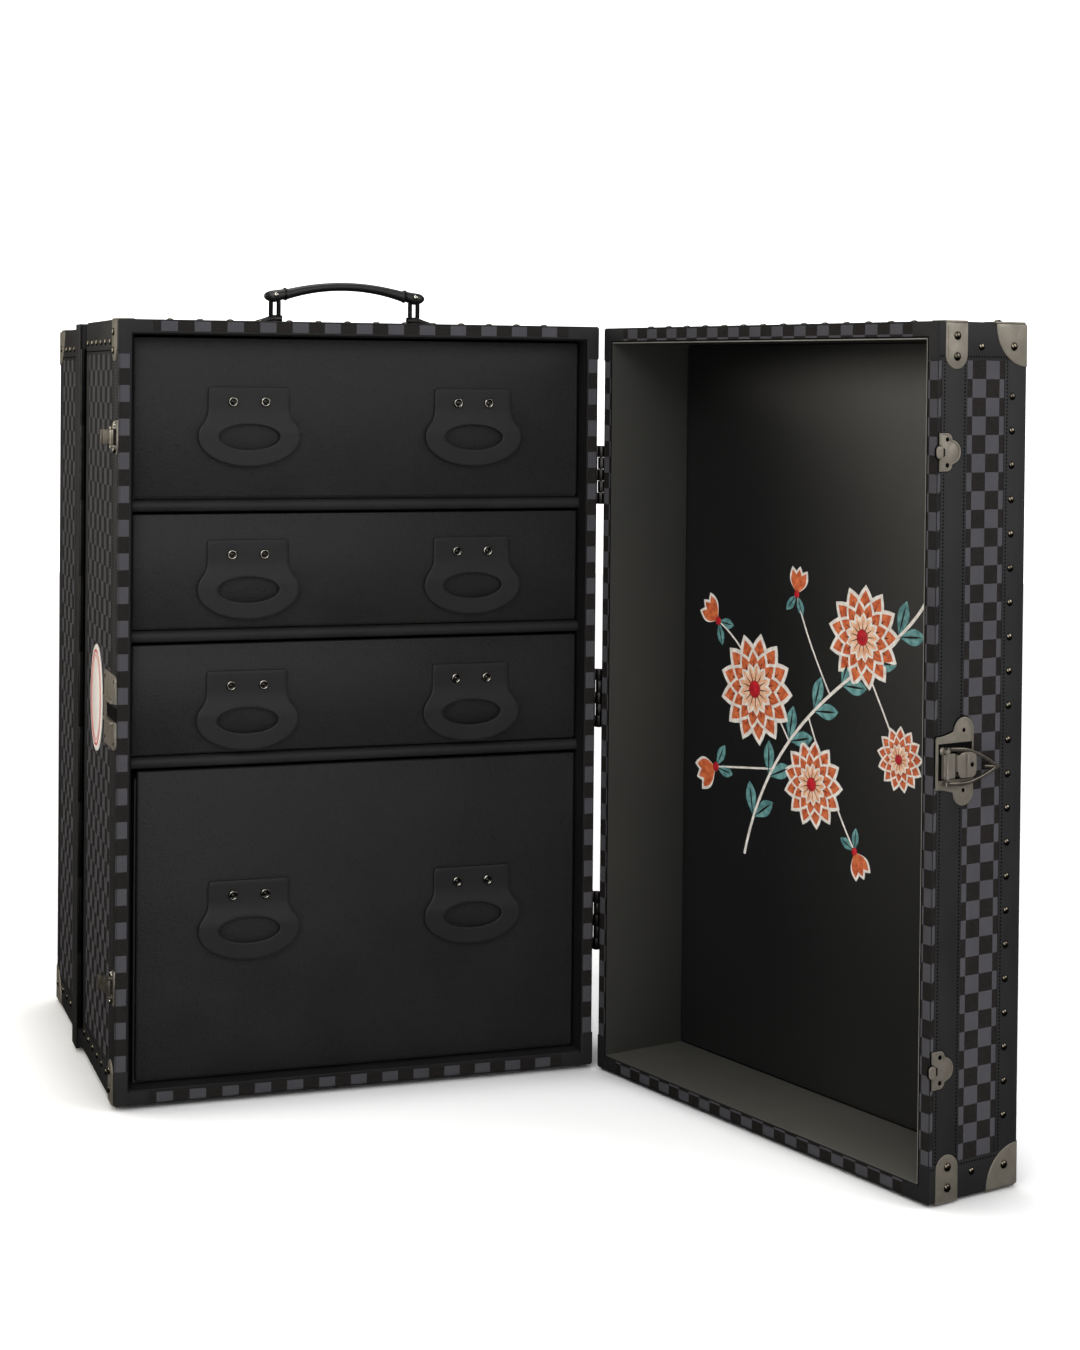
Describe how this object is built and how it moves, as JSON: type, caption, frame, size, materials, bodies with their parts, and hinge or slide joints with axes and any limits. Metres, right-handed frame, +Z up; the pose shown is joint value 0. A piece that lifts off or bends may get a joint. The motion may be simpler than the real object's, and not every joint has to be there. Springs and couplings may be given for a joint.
{
  "type": "wardrobe trunk",
  "caption": "Upright wardrobe trunk in checked canvas and leather: drawers in the case, a shallow hinged front door, a deep hinged rear door with a clothes rail, and a folding top handle.",
  "frame": {"origin": "middle of the underside of the sole board, under the middle of the case", "axes": "+Z up, -Y out of the case's front, +X to the right of someone who faces the front, so the front door hinges at +X"},
  "size_m": [0.9327, 1.1595, 1.02],
  "materials": {
    "checked_canvas": "coated canvas over plywood with a fine check, satin",
    "leather": "smooth charcoal leather, satin",
    "drawer_leather": "fine-grained charcoal leather, satin",
    "lining": "matt olive-grey lining",
    "panel": "smooth black panel with a soft gloss",
    "board": "plain sealed board",
    "pewter": "antique pewter, satin",
    "dark_metal": "blackened steel, satin",
    "enamel": "off-white enamel"
  },
  "bodies": {
    "case": {"case_shell": "checked_canvas", "case_sole": "board", "drawer_divider_1": "leather", "drawer_divider_2": "leather", "drawer_divider_3": "leather", "hinge_leaf_case_top": "dark_metal", "hinge_leaf_case_middle": "dark_metal", "hinge_leaf_case_bottom": "dark_metal", "rear_hinge_leaf_case": "dark_metal", "rear_staple": "pewter", "case_lock": "pewter", "latch_base_top": "pewter", "latch_base_bottom": "pewter", "case_clamp_top": "pewter", "case_clamp_bottom": "pewter", "handle_plate_left": "dark_metal", "handle_plate_right": "dark_metal", "side_plaque": "enamel"},
    "handle": {"handle_grip": "leather", "handle_loop_left": "dark_metal", "handle_loop_right": "dark_metal"},
    "latch_lever_top": {"latch_lever_top": "pewter"},
    "latch_lever_bottom": {"latch_lever_bottom": "pewter"},
    "drawer_1": {"drawer_1_front": "drawer_leather", "drawer_1_tray": "lining", "drawer_1_pull_left": "leather", "drawer_1_pull_right": "leather"},
    "drawer_2": {"drawer_2_front": "drawer_leather", "drawer_2_tray": "lining", "drawer_2_pull_left": "leather", "drawer_2_pull_right": "leather"},
    "drawer_3": {"drawer_3_front": "drawer_leather", "drawer_3_tray": "lining", "drawer_3_pull_left": "leather", "drawer_3_pull_right": "leather"},
    "drawer_4": {"drawer_4_front": "drawer_leather", "drawer_4_tray": "lining", "drawer_4_pull_left": "leather", "drawer_4_pull_right": "leather"},
    "front_door": {"front_door_shell": "checked_canvas", "front_door_lining": "panel", "front_door_clasp": "pewter", "front_door_keeper_top": "pewter", "front_door_keeper_bottom": "pewter", "front_door_clamp_top": "pewter", "front_door_clamp_bottom": "pewter", "front_door_corner_left_top": "pewter", "front_door_corner_left_bottom": "pewter", "front_door_corner_right_top": "pewter", "front_door_corner_right_bottom": "pewter", "hinge_leaf_door_top": "dark_metal", "hinge_leaf_door_middle": "dark_metal", "hinge_leaf_door_bottom": "dark_metal"},
    "clasp_bail": {"clasp_bail": "pewter"},
    "rear_door": {"rear_door_shell": "checked_canvas", "rear_door_collar": "leather", "clothes_rail": "dark_metal", "rear_hinge_leaf_door": "dark_metal", "rear_hasp_base": "pewter"},
    "rear_hasp": {"rear_hasp": "pewter"}
  },
  "joints": [
    {"name": "front_door_swing", "type": "hinge", "parent": "case", "child": "front_door", "pos_m": [0.3155, -0.1333, 0.482], "axis": [0, 0, 1], "range_deg": [-105, 73]},
    {"name": "clasp_bail_swing", "type": "hinge", "parent": "front_door", "child": "clasp_bail", "pos_m": [0.49226, -0.74158, 0.482], "axis": [0, 0, -1], "range_deg": [0, 170]},
    {"name": "rear_door_swing", "type": "hinge", "parent": "case", "child": "rear_door", "pos_m": [-0.3145, 0.13475, 0.481], "axis": [0, 0, 1], "range_deg": [0, 110]},
    {"name": "rear_hasp_swing", "type": "hinge", "parent": "rear_door", "child": "rear_hasp", "pos_m": [0.324, 0.1485, 0.484], "axis": [0, 0, 1], "range_deg": [-150, 28]},
    {"name": "latch_top_swing", "type": "hinge", "parent": "case", "child": "latch_lever_top", "pos_m": [-0.3165, -0.123, 0.821], "axis": [0, 0, -1], "range_deg": [-170, 8]},
    {"name": "latch_bottom_swing", "type": "hinge", "parent": "case", "child": "latch_lever_bottom", "pos_m": [-0.3165, -0.123, 0.147], "axis": [0, 0, -1], "range_deg": [-170, 8]},
    {"name": "handle_fold", "type": "hinge", "parent": "case", "child": "handle", "pos_m": [0, -0.02, 0.9705], "axis": [1, 0, 0], "range_deg": [-75, 75]},
    {"name": "drawer_1_slide", "type": "slide", "parent": "case", "child": "drawer_1", "axis": [0, -1, 0], "range_m": [0, 0.18]},
    {"name": "drawer_2_slide", "type": "slide", "parent": "case", "child": "drawer_2", "axis": [0, -1, 0], "range_m": [0, 0.18]},
    {"name": "drawer_3_slide", "type": "slide", "parent": "case", "child": "drawer_3", "axis": [0, -1, 0], "range_m": [0, 0.18]},
    {"name": "drawer_4_slide", "type": "slide", "parent": "case", "child": "drawer_4", "axis": [0, -1, 0], "range_m": [0, 0.18]}
  ]
}
